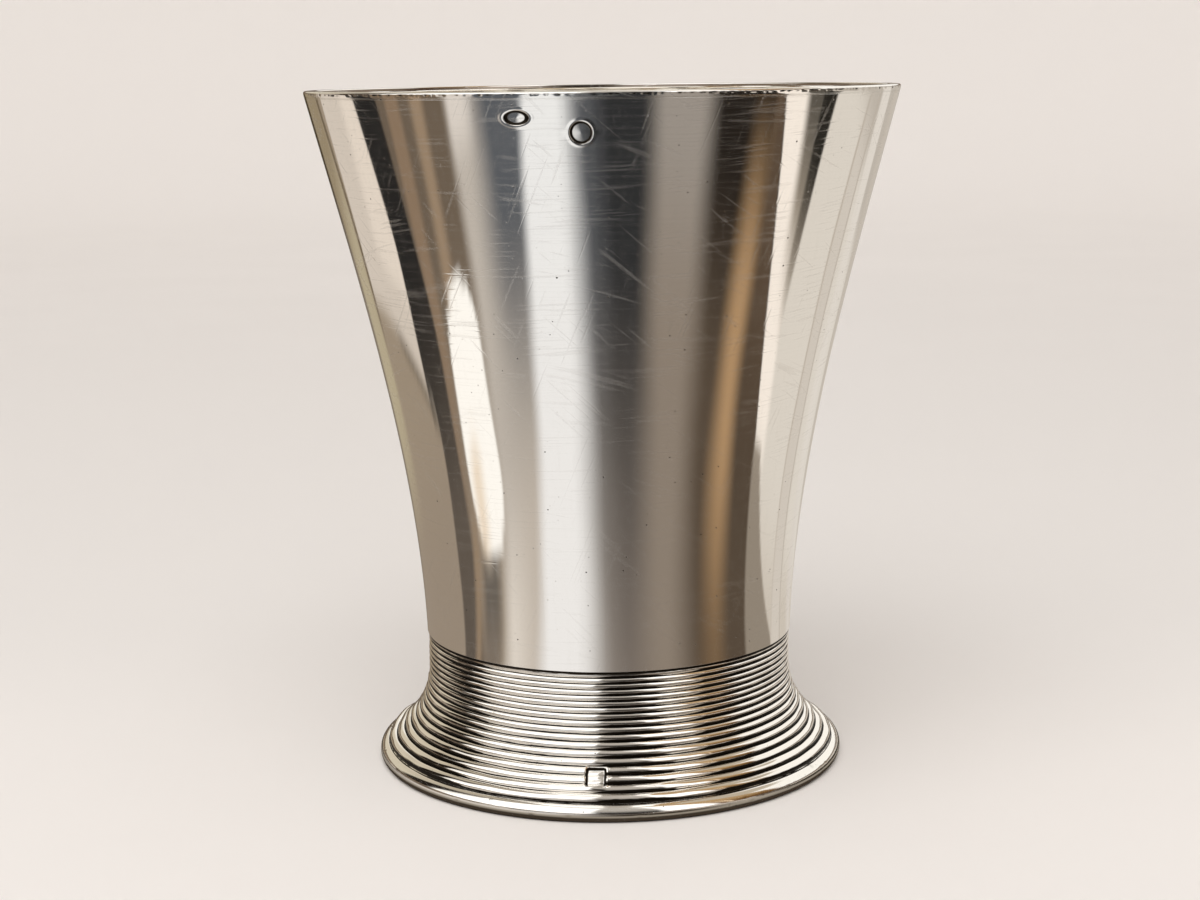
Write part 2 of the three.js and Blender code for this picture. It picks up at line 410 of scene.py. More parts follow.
@dataclass(frozen=True)
class SilverFinish:
    """Old polished silver, with Object coordinates for its wear and an attribute for its patina and painted
    shade.

    Attributes:
        slot: Material slot of the record, and the material's name.
        colour: Colour of the clean metal.
        dull: Colour of the metal where it has lost its polish, and where patina and painted shade begin.
        dirt_and_shade: Colour of patina and of painted shade at the bottom of a groove.
        polish: Roughness of the clean metal.
        haze: How much rubbing adds to the roughness.
        scuffed: Roughness of the metal inside a scratch.
        scratches: Strength of the scuffs.
        scuffs: Shares of scuffed metal along scratches, along lines from turning and along brushed lines.
        worn: Heights, in metres, between which the wear grows to its full strength.
        sheltered: Strength of the wear below them.
        pits: Share of the surface's cells that hold a pit.
        cells: Number of those cells to a metre.
        pit_radius: Smallest radius of a pit and how much it can grow, in cells.
        depth: Depth of the scratches, in metres.
        pit_depth: Depth of the pits, in depths of a scratch.
    """

    slot: str
    colour: Colour = (0.93, 0.905, 0.865)
    dull: Colour = (0.80, 0.765, 0.71)
    dirt_and_shade: Colour = (0.023, 0.018, 0.013)
    polish: float = 0.025
    haze: float = 0.035
    scuffed: float = 0.55
    scratches: float = 1.0
    scuffs: Colour = (0.24, 0.09, 0.05)
    worn: Pair = (0.03, 0.062)
    sheltered: float = 0.45
    pits: float = 0.95
    cells: float = 900.0
    pit_radius: Pair = (0.02, 0.05)
    depth: float = 0.0000012
    pit_depth: float = 8.0

    def hairlines(self, shader: Shader, grain: Grain) -> Reading:
        """One set of hairline scratches.

        Args:
            shader: Shader to add to.
            grain: Which way the scratches run.

        Returns:
            Their strength on the crests of a noise stretched into streaks, broken up by a second noise.
        """
        scale, turn, crest, strength, bare = grain.value
        level = shader.noise(shader.stretched(scale, turn, (5.3, 2.9, 7.7)), 0.0)
        patch = shader.noise(shader.stretched((150.0, 150.0, 260.0), turn, (31.0, 17.0, 3.0)), 1.0)
        return level.step(crest - 0.03, crest + 0.04, 0.0, strength) * patch.step(bare, bare + 0.12)

    def specks(self, shader: Shader) -> Reading:
        """Small pits.

        Args:
            shader: Shader to add to.

        Returns:
            Their strength: the middle of some cells of a scattered pattern, picked by the cell's number.
        """
        place = shader.stretched((self.cells,) * 3, (13.0, 31.0, 7.0))
        cells = shader.node("ShaderNodeTexVoronoi", {}, {"Vector": place, "Scale": 1.0})
        own = {"Color": Reading(shader, cells.outputs["Color"])}
        number = shader.node("ShaderNodeSeparateColor", {}, own)
        chosen = Reading(shader, number.outputs["Red"]).step(1.0 - self.pits - 0.01, 1.0 - self.pits)
        least, growth = self.pit_radius
        size = Reading(shader, number.outputs["Green"]) * growth + least
        spread = Reading(shader, cells.outputs["Distance"]) - size
        return chosen * spread.step(0.0, 0.03, 1.0, 0.0) * Reading(shader, number.outputs["Blue"])

    def material(self) -> bpy.types.Material:
        """The finish as a material.

        Returns:
            Metal whose colour goes to dull and to dark with the patina and painted shade, whose roughness
            and bump follow rubbed patches and pits, under a veil of scuffed metal along the scratches.
        """
        shader = Shader(self.slot)
        cloud = shader.noise(shader.stretched((55.0, 55.0, 38.0)), 3.0)
        turned = shader.noise(shader.stretched((40.0, 40.0, 5200.0)), 2.0)
        brushed = shader.noise(shader.stretched((1700.0, 1700.0, 40.0)), 2.0)
        lines = self.hairlines(shader, Grain.ROUND)
        for grain in (Grain.ROUND_FINE, Grain.SLANTED, Grain.STEEP, Grain.CROSSED):
            lines = lines.larger(self.hairlines(shader, grain))
        height = shader.reading("ShaderNodeSeparateXYZ", "Z", {"Vector": shader.place})
        upper = height.step(*self.worn, self.sheltered, 1.0)
        lines = lines * upper
        specks = self.specks(shader)
        # Patina and painted shade come from the attribute, with the pits; both darken the colour towards
        # near black
        tarnish_and_shade = shader.attribute(TARNISH_AND_SHADE, "Fac").larger(specks)
        mottle = shader.noise(shader.stretched((900.0, 900.0, 900.0)), 2.0)
        dirt_and_shade_share = (tarnish_and_shade + (mottle - 0.5) * 0.6).step(0.4, 0.64)
        rubbed = cloud.step(0.35, 0.75) * self.haze
        colour = shader.blend(tarnish_and_shade.step(0.0, 0.5), self.colour, self.dull)
        colour = shader.blend(dirt_and_shade_share, colour, self.dirt_and_shade)
        rough = rubbed + dirt_and_shade_share * 0.35 + self.polish
        scratch, lathe, brush = self.scuffs
        veil = lines * scratch + turned.step(0.45, 0.85) * upper * lathe + brushed.step(0.45, 0.9) * brush
        relief = turned * 0.1 - lines - specks * self.pit_depth
        values = {"Strength": 1.0, "Distance": self.depth, "Height": relief}
        normal = shader.reading("ShaderNodeBump", "Normal", values)
        values = {"Base Color": colour, "Metallic": 1.0, "Normal": normal}
        metal = shader.reading("ShaderNodeBsdfPrincipled", "BSDF", {**values, "Roughness": rough})
        scuffed = shader.reading("ShaderNodeBsdfPrincipled", "BSDF", {**values, "Roughness": self.scuffed})
        layers = {0: veil * self.scratches, 1: metal, 2: scuffed}
        return shader.finish(shader.reading("ShaderNodeMixShader", "Shader", layers))


@dataclass(frozen=True)
class WallShape:
    """Outside and inside of the flared wall, in millimetres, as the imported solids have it.

    Attributes:
        foot: Height of the wall's lower edge.
        lip: Height of the lip.
        joint_radius: Outer radius at the lower edge.
        lip_radius: Outer radius that the curve has at the lip.
        joint_slope: Lean of the wall at the lower edge, in degrees.
        lip_slope: Lean of the wall at the lip.
        thickness: Thickness of the sheet.
        probe: Half of the rise over which the lean is measured.
    """

    foot: float = 15.6
    lip: float = 80.0
    joint_radius: float = 22.0
    lip_radius: float = 34.66
    joint_slope: float = 2.2
    lip_slope: float = 14.55
    thickness: float = 0.9
    probe: float = 0.01

    def outside(self, height: Any) -> Any:
        """Outer radius at a height.

        Args:
            height: Height or heights over the table.

        Returns:
            A cubic in the share of the rise, with the lean of the wall given at both of its ends.
        """
        rise = self.lip - self.foot
        lower = self.joint_radius + rise / 3 * math.tan(math.radians(self.joint_slope))
        upper = self.lip_radius - rise / 3 * math.tan(math.radians(self.lip_slope))
        share = (height - self.foot) / rise
        rest = 1 - share
        ends = rest**3 * self.joint_radius + share**3 * self.lip_radius
        return ends + 3 * rest * share * (rest * lower + share * upper)

    def inside(self, height: Any) -> Any:
        """Inner radius at a height: one thickness in, square to the outside."""
        lean = (self.outside(height + self.probe) - self.outside(height - self.probe)) / (2 * self.probe)
        return self.outside(height) - self.thickness * np.sqrt(1 + lean**2)


class Outline(Enum):
    """Outline of a blank struck mark."""

    OVAL = "oval"
    SQUARE = "square"


@dataclass(frozen=True)
class StruckMark:
    """A blank mark struck into the metal, in millimetres, with a burr raised round it.

    Attributes:
        azimuth: Azimuth of its middle, in degrees.
        height: Height of its middle, or length along the surface to it.
        width: Width round the beaker.
        length: Length up the surface.
        outline: Form of the punch.
        depth: How deep it is struck.
        burr: How far the metal beside it is raised.
        flank: Distances from the edge between which the metal goes down.
        bank: Distance from the edge to the burr's crest, and the burr's breadth.
        stain_and_shade: Distance from the edge to the line of patina and painted shade inside it, and the
            line's breadth.
        dish: Share of the depth that the middle of the mark keeps back.
        corner: Radius of a square's corners over half of its width.
    """

    azimuth: float
    height: float
    width: float
    length: float
    outline: Outline
    depth: float = 0.13
    burr: float = 0.035
    flank: Pair = (-0.16, 0.03)
    bank: Pair = (0.17, 0.14)
    stain_and_shade: Pair = (-0.10, 0.12)
    dish: float = 0.35
    corner: float = 0.35

    def edge(self, across: np.ndarray, along: np.ndarray) -> np.ndarray:
        """Distance from the edge of the mark.

        Args:
            across: Places round the beaker from its middle, in millimetres.
            along: Places up the surface from its middle.

        Returns:
            Millimetres outside the edge, below 0 inside: the distance from an ellipse, or from a square
            with rounded corners.
        """
        half = np.array([self.width, self.length]) / 2
        if self.outline is Outline.OVAL:
            return (np.hypot(across / half[0], along / half[1]) - 1) * half.min()
        return rounded_edge(across, along, half, half.min() * self.corner)

    def strike(self, piece: Turning, rows: slice, along: np.ndarray, radius: np.ndarray) -> np.ndarray:
        """Presses the mark into a turned surface.

        Args:
            piece: Surface to change.
            rows: Rows of the surface that take the mark.
            along: Place of each of those rows up the surface, in millimetres.
            radius: Radius of each of those rows.

        Returns:
            How far the metal is pressed flat by the punch, from 0 to 1, in those rows.
        """
        across = radius[:, None] * np.radians(piece.azimuth - self.azimuth)[None, :]
        up = (along - self.height)[:, None] + 0 * across
        edge = self.edge(across, up)
        sunk = 1 - smoothstep(*self.flank, edge)
        dished = np.clip(edge / self.edge(np.zeros(1), np.zeros(1)), 0, 1)
        raised = np.exp(-(((edge - self.bank[0]) / self.bank[1]) ** 2))
        piece.relief[rows] += self.burr * raised - self.depth * sunk * (1 - self.dish * dished)
        # A line of patina and painted shade just inside the edge, and some patina on the sunk metal
        rim = np.exp(-(((edge - self.stain_and_shade[0]) / self.stain_and_shade[1]) ** 2))
        piece.tarnish_and_shade[rows] = np.maximum(piece.tarnish_and_shade[rows], 0.95 * rim + 0.3 * sunk * (1 - dished))
        return sunk


@dataclass
class Cup:
    """The cup: its wall, its lip wire and its floor.

    Attributes:
        shape: Curve of the wall.
        wall_top: Height of the wall's upper edge.
        lip_wire_foot: Height of the lip wire's lower side.
        lip_overhang: How far the lip wire stands proud inside the cup.
        lip_rounding: Radii of the lip wire's outer and inner upper edges.
        lip_limit: Largest radius of the lip.
        lip_lean: Slope of the lip wire's inner flank, in degrees from upright.
        lip_bend: Height of the lip wire's lower part, inside the cup, that is rounded.
        floor_seat: Height of the floor's underside.
        floor_thickness: Thickness of the floor's sheet.
        floor_crown: Rise of the floor's middle.
        crown_radius: Radius of the crowned part of the floor.
        flange_top: Height of the flange round the floor.
        floor_bend: Radius of the bend under the flange.
        floor_hollow: Radius of the hollow above that bend.
        floor_ease: How far the flange's edges are cut back.
        floor_stain: Distance past the hollow's middle, breadth and strength of a ring of patina.
        film: Thickness of a solder film.
        waver: Unevenness of the polished wall.
        nicks: Number of nicks along the lip.
        nick_seed: Seed of the scatter of nicks.
        nick_width: Smallest and largest width of a nick, in degrees.
        nick_weight: Smallest and largest strength of a nick.
        nick_depth: Depth of the strongest nick.
        nick_place: Height of the nicks from the start of the lip's outer arc, and their breadth.
        marks: Blank struck marks under the lip.
        coarse: Widest step round the wall, in degrees, and up it.
        fine_round: Azimuths beside the marks, and the step between them.
        fine_up: Heights beside the marks, and the step between them.
    """

    shape: WallShape
    wall_top: float = 79.2
    lip_wire_foot: float = 79.3
    lip_overhang: float = 0.3
    lip_rounding: Pair = (0.25, 0.12)
    lip_limit: float = 34.58
    lip_lean: float = 3.0
    lip_bend: float = 0.3
    floor_seat: float = 18.6
    floor_thickness: float = 0.8
    floor_crown: float = 1.0
    crown_radius: float = 18.85
    flange_top: float = 21.0
    floor_bend: float = 0.6
    floor_hollow: float = 0.9
    floor_ease: float = 0.05
    floor_stain: Window = (0.6, 1.2, 0.45)
    film: float = 0.1
    waver: float = 0.006
    nicks: int = 480
    nick_seed: int = 7
    nick_width: Pair = (0.10, 0.75)
    nick_weight: Pair = (0.1, 1.0)
    nick_depth: float = 0.06
    nick_place: Pair = (-0.01, 0.10)
    marks: tuple[StruckMark, ...] = (
        StruckMark(-15.2, 77.35, 2.7, 1.5, Outline.OVAL),
        StruckMark(-3.9, 75.8, 2.3, 2.3, Outline.OVAL),
    )
    coarse: Pair = (1.2, 0.9)
    fine_round: tuple[Window, ...] = ((-18.8, -11.6, 0.15), (-6.6, -1.2, 0.15))
    fine_up: Window = (74.2, 78.7, 0.085)

    def build(self) -> Built:
        """Builds the cup.

        Returns:
            Its pieces, each with the slot of its finish.
        """
        return [
            (self.wall(), "wall_silver"),
            (self.lip_wire(), "lip_silver"),
            (self.floor(), "floor_silver"),
        ]

    def wall(self) -> bpy.types.Object:
        """The flared wall.

        Returns:
            Its cubic outside, its edges eased, and its inside one thickness in.
        """
        foot_edge = (self.shape.foot + EASE, self.shape.foot + 4 * EASE, EASE)
        top_edge = (self.wall_top - 4 * EASE, self.wall_top - EASE, EASE)
        windows = [foot_edge, self.fine_up, top_edge]
        azimuth = graded(-180.0, 180.0, self.coarse[0], self.fine_round)[:-1]
        rows_out = graded(foot_edge[0], top_edge[1], self.coarse[1], windows)
        rows_in = np.linspace(self.wall_top - EASE, self.shape.foot + EASE, 32)
        outside = np.stack([self.shape.outside(rows_out), rows_out], axis=1)
        inside = np.stack([self.shape.inside(rows_in), rows_in], axis=1)
        top = [[outside[-1, 0] - EASE, self.wall_top], [inside[0, 0] + EASE, self.wall_top]]
        below = [[inside[-1, 0] + EASE, self.shape.foot], [outside[0, 0] - EASE, self.shape.foot]]
        piece = Turning(np.concatenate([outside, top, inside, below]), azimuth)
        rows = slice(0, len(rows_out))
        turn = np.radians(azimuth)[None, :]
        rise = ((rows_out - self.shape.foot) / (self.wall_top - self.shape.foot))[:, None]
        wave = np.sin(5 * turn + 4 * rise) + np.sin(11 * turn - 9 * rise + 1)
        wave = wave + 0.6 * np.sin(23 * turn + 17 * rise)
        fade = np.sin(np.pi * np.clip(rise, 0, 1)) ** 0.5
        piece.relief[rows] += self.waver * wave * fade
        for mark in self.marks:
            mark.strike(piece, rows, rows_out, outside[:, 0])
        return piece.ring("cup_wall_polished")

    def pitting(self, azimuth: np.ndarray) -> np.ndarray:
        """Broken line of soiled pits along the soldered lip.

        Args:
            azimuth: Azimuths of the columns, in degrees.

        Returns:
            A row of values from 0 to 1: the largest of a scatter of short bell curves.
        """
        scatter = np.random.default_rng(self.nick_seed)
        middle = scatter.uniform(-180, 180, self.nicks)[:, None]
        width = scatter.uniform(*self.nick_width, self.nicks)[:, None]
        weight = scatter.uniform(*self.nick_weight, self.nicks)[:, None]
        apart = (azimuth[None, :] - middle + 180) % 360 - 180
        return (weight * np.exp(-((apart / width) ** 2))).max(axis=0)[None, :]

    def lip_wire(self) -> bpy.types.Object:
        """The lip wire.

        Returns:
            Flanks that carry on the flare, arcs for the upper edges, and nicks along the outer one.
        """
        foot, top = self.lip_wire_foot, self.shape.lip
        outer, inner = self.lip_rounding
        lean = math.radians(self.shape.lip_slope)
        reach = self.shape.inside(self.wall_top) - self.lip_overhang
        over = arc((self.lip_limit - outer, top - outer), outer, -lean, math.pi / 2, 8)
        steep = math.radians(self.lip_lean)
        bore = reach + (top - inner - foot) * math.tan(steep)
        into = arc((bore + inner / math.cos(steep), top - inner), inner, math.pi / 2, math.pi - steep, 6)
        rows = np.append([foot + EASE, foot + 3 * EASE], np.linspace(foot + 6 * EASE, over[0, 1] - EASE, 5))
        flank = np.interp(rows, [foot, over[0, 1]], [self.shape.outside(foot), over[0, 0]])
        bend = foot + self.lip_bend
        inside = np.array([top - inner - EASE, bend + EASE, bend])
        inside = np.stack([reach + (inside - foot) * math.tan(steep), inside], axis=1)
        below = [[reach, foot + EASE], [reach + EASE, foot], [self.shape.outside(foot) - EASE, foot]]
        flank = np.stack([flank, rows], axis=1)
        piece = Turning(np.concatenate([flank, over, into, inside, below]), azimuths(1440))
        pitted = self.pitting(piece.azimuth)
        outside = piece.outline[:, :1] > self.lip_limit - outer
        place, breadth = self.nick_place
        crest = outside * np.exp(-((piece.outline[:, 1:] - over[0, 1] - place) / breadth) ** 2)
        piece.relief -= self.nick_depth * crest * pitted
        piece.tarnish_and_shade = crest * pitted
        return piece.ring("lip_wire_polished")

    def floor(self) -> bpy.types.Object:
        """The floor.

        Returns:
            A parabolic crown, a bend of quarter circles and a flange along the wall.
        """
        radius = np.linspace(0, self.crown_radius, 24)
        crown = self.floor_seat + self.floor_crown * (1 - (radius / self.crown_radius) ** 2)
        under = np.stack([radius, crown], axis=1)
        bend_top = self.floor_seat + self.floor_bend
        flange = self.shape.inside(np.array([bend_top, self.flange_top])) - self.film
        bend = arc((flange[0] - self.floor_bend, bend_top), self.floor_bend, -math.pi / 2, 0, 6)
        thin = self.floor_thickness
        ease = self.floor_ease
        lip = [[flange[1], self.flange_top - ease], [flange[1] - ease, self.flange_top],
               [flange[1] - thin + ease, self.flange_top], [flange[1] - thin, self.flange_top - ease]]
        corner = (flange[0] - thin - self.floor_hollow, self.floor_seat + thin + self.floor_hollow)
        hollow = arc(corner, self.floor_hollow, 0, -math.pi / 2, 6)
        top = under[::-1] + [0, thin]
        piece = Turning(np.concatenate([under, bend, lip, hollow, top]), azimuths(180))
        past, breadth, strength = self.floor_stain
        ring = np.exp(-((piece.outline[:, 0] - corner[0] - past) / breadth) ** 2)
        piece.tarnish_and_shade += strength * ring[:, None]
        return piece.disc("cup_floor_satin")


@dataclass
class Foot:
    """The hollow foot: a neck and a cove turned with reeds, and the wire that it stands on.

    Attributes:
        height: Height of the shoulder that the wall stands on.
        neck_radius: Radius of the groove line on the upright neck.
        neck_length: Length of the upright neck.
        cove_radius: Radius of the cove.
        cove_sweep: Angle that the cove turns through, in degrees.
        sheet: Metal under the grooves.
        spigot_outside: Outer radius of the spigot.
        spigot_inside: Inner radius of the spigot.
        spigot_top: Height of the spigot's end.
        spigot_ease: How far the spigot's edges are cut back.
        reeds: Number of reeds.
        reed_steps: Number of steps over a reed.
        fineness: Width of the first reed over the mean width.
        spread: Power by which the reeds broaden.
        bulge: Height of a reed over its width.
        groove: Thickness of the patina and painted shade over a groove's bottom, on the reed's lower side,
            where it is rubbed, and where it isn't.
        shade: Thickness of the patina and painted shade under a groove's bottom, likewise.
        dirt_and_shade_edge: Thicknesses of patina and painted shade from the groove's bottom at which they
            start to thin out and end.
        joint_shade: Lengths down from the shoulder between which the painted shade under the wall ends.
        reed_seed: Seed of the reeds' unevenness.
        waves: Whole waves to a turn of that unevenness.
        unevenness: Steepness of those waves.
        rubbed: Azimuths between which the grooves are rubbed, and carry less patina and less painted shade.
        rub_soft: Softness of the left and right ends of a rubbed stretch, in degrees.
        broad_reed_thinning: Power by which broader reeds carry less patina and painted shade.
        wire_radius: Radius of the foot wire.
        wire_centre: Radius and height of the middle of the foot wire.
        seat: Inner corner of the rebate in the foot wire, as radius and height.
        dents: Number of dents in the foot wire.
        dent_seed: Seed of the scatter of dents.
        dent_place: Lowest and highest place of a dent.
        dent_width: Smallest and largest width of a dent, in degrees.
        dent_depth: Smallest and largest depth of a dent.
        dent_rise: Breadth of a dent up the wire.
        film: Thickness of a solder film.
        mark: Blank struck mark near the foot's edge.
        fine_round: Azimuths beside the mark, and the step between them.
    """

    height: float = 15.5
    neck_radius: float = 21.6
    neck_length: float = 4.214
    cove_radius: float = 10.7
    cove_sweep: float = 60.0
    sheet: float = 0.7
    spigot_outside: float = 20.999
    spigot_inside: float = 20.249
    spigot_top: float = 18.5
    spigot_ease: float = 0.05
    reeds: int = 18
    reed_steps: int = 11
    fineness: float = 0.78
    spread: float = 3.4
    bulge: float = 0.41
    groove: Pair = (0.09, 0.33)
    shade: Pair = (0.03, 0.07)
    dirt_and_shade_edge: Pair = (0.4, 1.5)
    joint_shade: Pair = (0.14, 0.32)
    reed_seed: int = 17
    waves: tuple[int, ...] = (11, 19, 34)
    unevenness: float = 1.1
    rubbed: tuple[Pair, ...] = ((-41.0, -2.0), (14.0, 27.0))
    rub_soft: Pair = (4.0, 3.0)
    broad_reed_thinning: float = 0.35
    wire_radius: float = 1.05
    wire_centre: Pair = (27.037, 0.92)
    seat: Pair = (26.68, 1.36)
    dents: int = 46
    dent_seed: int = 31
    dent_place: Pair = (0.1, 1.9)
    dent_width: Pair = (0.3, 0.9)
    dent_depth: Pair = (0.01, 0.035)
    dent_rise: float = 0.2
    film: float = 0.1
    mark: StruckMark = StruckMark(-4.0, 12.2, 2.3, 2.5, Outline.SQUARE, 0.16, 0.06)
    fine_round: Window = (-7.4, -0.6, 0.3)

    @property
    def length(self) -> float:
        """Length of the groove line from the shoulder to the foot's edge."""
        return self.neck_length + self.cove_radius * math.radians(self.cove_sweep)

    def line(self, length: Any, offset: Any) -> np.ndarray:
        """Points along the groove line.

        Args:
            length: Lengths down from the shoulder.
            offset: How far the points stand out from the line.

        Returns:
            Rows of radius and height: straight down the neck, then round the cove by its arc length.
        """
        length = np.asarray(length, float)
        turn = np.maximum(0, length - self.neck_length) / self.cove_radius
        drop = np.minimum(length, self.neck_length) + self.cove_radius * np.sin(turn)
        radius = self.neck_radius + self.cove_radius * (1 - np.cos(turn)) + offset * np.cos(turn)
        return np.stack([radius, self.height - drop + offset * np.sin(turn)], axis=-1)

    def reed_start(self, index: Any) -> Any:
        """Length at which a reed starts: a straight line plus a power, so that the reeds broaden."""
        share = index / self.reeds
        return self.length * (self.fineness * share + (1 - self.fineness) * share**self.spread)

    def build(self) -> Built:
        """Builds the foot's pieces, each with the slot of its finish."""
        return [(self.reeded(), "reeded_silver"), (self.wire(), "base_silver")]

    def reeded(self) -> bpy.types.Object:
        """The reeded foot.

        Returns:
            Full rounded beads side by side, up the cove and the neck, then over the spigot and down the
            plain inside. Patina and painted shade lie in the grooves and on the reeds' sides, thinner where
            the foot is rubbed.
        """
        steps = self.reed_steps
        share = (1 - np.cos(np.pi * np.arange(steps) / steps)) / 2
        start = self.reed_start(np.arange(self.reeds))[:, None]
        width = self.reed_start(np.arange(1, self.reeds + 1))[:, None] - start
        length = upwards(start + share * width, self.length)
        swell = upwards(width * np.sqrt(4 * share * (1 - share)) * self.bulge, 0.0)
        below = upwards((1 - share) * width * (width / width[0]) ** self.broad_reed_thinning, 0.0)
        above = upwards(share * width, 0.0)
        crown = upwards(width * self.bulge + 0 * share, 1.0)
        reed = upwards(np.repeat(np.arange(self.reeds), steps), 0)[:, 0]
        beads = self.line(length[:, 0], swell[:, 0])
        ease = self.spigot_ease
        top, out, bore = self.spigot_top, self.spigot_outside, self.spigot_inside
        neck = self.neck_radius - self.sheet
        under = self.height - self.sheet
        spigot = [[out + ease, self.height], [out, self.height + ease], [out, top - ease], [out - ease, top],
                  [bore + ease, top], [bore, top - ease], [bore, under], [neck, under - abs(neck - bore)]]
        inside = self.line(np.linspace(self.neck_length, self.length, 24), -self.sheet)
        azimuth = graded(-180.0, 180.0, 1.0, [self.fine_round])[:-1]
        piece = Turning(np.concatenate([beads, spigot, inside]), azimuth)
        rows = slice(0, len(beads))
        # Patina in the grooves, spread into painted shade over the reeds' lower and upper sides; it is
        # thinner where the foot is rubbed and on broader reeds, and clean is the share free of both
        groove_darkness = 1.0 + 0.0 * azimuth[None, :]
        begin, end = self.rub_soft
        for left, right in self.rubbed:
            entered = smoothstep(left - begin, left + begin, azimuth)
            groove_darkness -= entered * (1 - smoothstep(right - end, right + end, azimuth))
        thick = self.groove[0] * (1 - groove_darkness) + self.groove[1] * groove_darkness
        thin = self.shade[0] * (1 - groove_darkness) + self.shade[1] * groove_darkness
        low, high = self.dirt_and_shade_edge
        clean = np.minimum(
            smoothstep(low * thick, high * thick, below), smoothstep(low * thin, high * thin, above)
        )
        # Painted shade under the wall's lower edge, on the first reed
        joint_shade = smoothstep(*self.joint_shade, length)
        piece.relief[rows] += self.ripple(azimuth)[reed] * swell
        sunk = self.mark.strike(piece, rows, length[:, 0], beads[:, 0])
        piece.relief[rows] += sunk * (crown / 2 - swell)
        piece.tarnish_and_shade[rows] = np.maximum(piece.tarnish_and_shade[rows], (1 - np.minimum(clean, joint_shade)) * (1 - sunk))
        return piece.ring("reeded_foot_aged_shaded")

    def ripple(self, azimuth: np.ndarray) -> np.ndarray:
        """Unevenness of the hand-turned reeds.

        Args:
            azimuth: Azimuths of the columns, in degrees.

        Returns:
            A row for each reed, over its height: a sum of sines of whole waves to a turn, each over its
            number of waves, with starts of the reed's own.
        """
        scatter = np.random.default_rng(self.reed_seed)
        start = scatter.uniform(0, 2 * np.pi, (self.reeds, len(self.waves), 1))
        waves = np.array(self.waves)[None, :, None]
        return (self.unevenness * np.sin(waves * np.radians(azimuth) + start) / waves).sum(axis=1)

    def wire(self) -> bpy.types.Object:
        """The foot wire.

        Returns:
            A circle with a flat to stand on, a rebate for the foot's edge, and dents as bell curves. Its
            dents are soiled, and painted shade darkens its underside.
        """
        flat = math.asin(self.wire_centre[1] / self.wire_radius)
        rebate = math.asin((self.seat[1] - self.wire_centre[1]) / self.wire_radius)
        outline = np.concatenate([
            arc(self.wire_centre, self.wire_radius, -flat, math.pi / 2, 22),
            [self.seat],
            arc(self.wire_centre, self.wire_radius, math.pi - rebate, math.pi + flat, 12),
        ])
        piece = Turning(outline, azimuths(720))
        scatter = np.random.default_rng(self.dent_seed)
        every = (self.dents, 1, 1)
        middle = scatter.uniform(-180, 180, every)
        height = scatter.uniform(*self.dent_place, every)
        width = scatter.uniform(*self.dent_width, every)
        depth = scatter.uniform(*self.dent_depth, every)
        apart = ((piece.azimuth - middle + 180) % 360 - 180) / width
        above = (outline[:, 1:] - height) / self.dent_rise
        dents = np.exp(-(apart**2) - above**2)
        outer = outline[:, :1] > self.wire_centre[0]
        piece.relief -= outer * (dents * depth).max(axis=0)
        # Painted shade along the wire's underside, darker towards the table
        under = 1 - smoothstep(0.0, 0.3, outline[:, 1:])
        piece.tarnish_and_shade = outer * np.maximum(0.5 * dents.max(axis=0), under)
        return piece.ring("foot_wire_worn_shaded")


